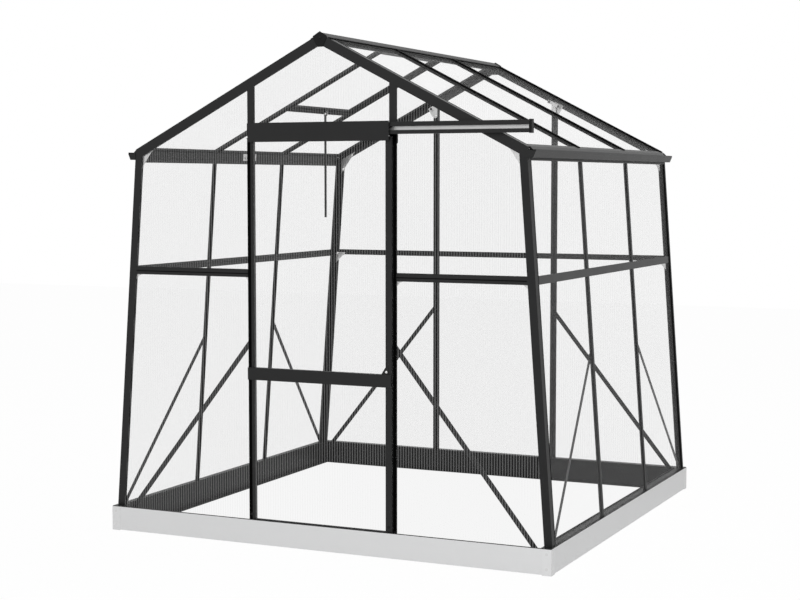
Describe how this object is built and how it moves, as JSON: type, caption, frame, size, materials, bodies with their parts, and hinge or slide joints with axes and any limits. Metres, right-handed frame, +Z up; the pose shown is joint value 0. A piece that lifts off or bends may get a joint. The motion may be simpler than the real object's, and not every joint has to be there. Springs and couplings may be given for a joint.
{
  "type": "hobby greenhouse",
  "caption": "Walk-in hobby greenhouse with leaning side walls, gable roof, sliding door and roof vent, dark metal frame and clear twin-wall sheets on a pale base.",
  "frame": {"origin": "centre of the base's footprint, on the ground", "axes": "+X to the right seen from the door, +Y from the door wall to the rear wall, +Z up"},
  "size_m": [1.931, 1.9, 2.0226],
  "materials": {
    "dark_frame": "satin dark powder coat on aluminium extrusions",
    "base_sheet": "pale satin coated sheet metal",
    "twin_wall_sheet": "clear twin-wall polycarbonate with fine upright ribs",
    "track_strip": "bare aluminium running strip",
    "gusset_steel": "plain plated steel",
    "roller_plastic": "moulded wheels",
    "cap_plastic": "moulded black end caps",
    "seal_rubber": "black rubber seal"
  },
  "bodies": {
    "frame": {"back_glazing": "twin_wall_sheet", "back_rails": "dark_frame", "back_studs": "dark_frame", "base_back": "base_sheet", "base_corners": "base_sheet", "base_front": "base_sheet", "base_left": "base_sheet", "base_right": "base_sheet", "door_header": "dark_frame", "door_posts": "dark_frame", "door_track": "dark_frame", "eave_beam_left": "dark_frame", "eave_beam_right": "dark_frame", "front_glazing": "twin_wall_sheet", "front_rails": "dark_frame", "gable_braces": "dark_frame", "gable_gussets": "gusset_steel", "gutter_left": "dark_frame", "gutter_right": "dark_frame", "left_glazing": "twin_wall_sheet", "post_back_left": "dark_frame", "post_back_right": "dark_frame", "post_front_left": "dark_frame", "post_front_right": "dark_frame", "rafter_back_left": "dark_frame", "rafter_back_right": "dark_frame", "rafter_front_left": "dark_frame", "rafter_front_right": "dark_frame", "rail_left": "dark_frame", "rail_right": "dark_frame", "ridge_beam": "dark_frame", "ridge_cap": "dark_frame", "ridge_plates": "dark_frame", "right_glazing": "twin_wall_sheet", "roof_bars_left": "dark_frame", "roof_bars_right": "dark_frame", "roof_glazing_left": "twin_wall_sheet", "roof_glazing_right": "twin_wall_sheet", "side_braces": "dark_frame", "sill_back": "dark_frame", "sill_front": "dark_frame", "sill_left": "dark_frame", "sill_right": "dark_frame", "track_caps": "cap_plastic", "track_strip": "track_strip", "vent_frame": "dark_frame", "vent_glazing": "twin_wall_sheet", "vent_stay": "dark_frame", "vent_trimmer": "dark_frame", "wall_bars_left": "dark_frame", "wall_bars_right": "dark_frame"},
    "door": {"door_stiles": "dark_frame", "door_head_rail": "dark_frame", "door_middle_rail": "dark_frame", "door_bottom_rail": "dark_frame", "door_glazing": "twin_wall_sheet", "door_rollers": "roller_plastic", "door_gusset": "dark_frame", "door_seal": "seal_rubber"}
  },
  "joints": [
    {"name": "door_slide", "type": "slide", "parent": "frame", "child": "door", "axis": [1, 0, 0], "range_m": [0, 0.54]}
  ]
}
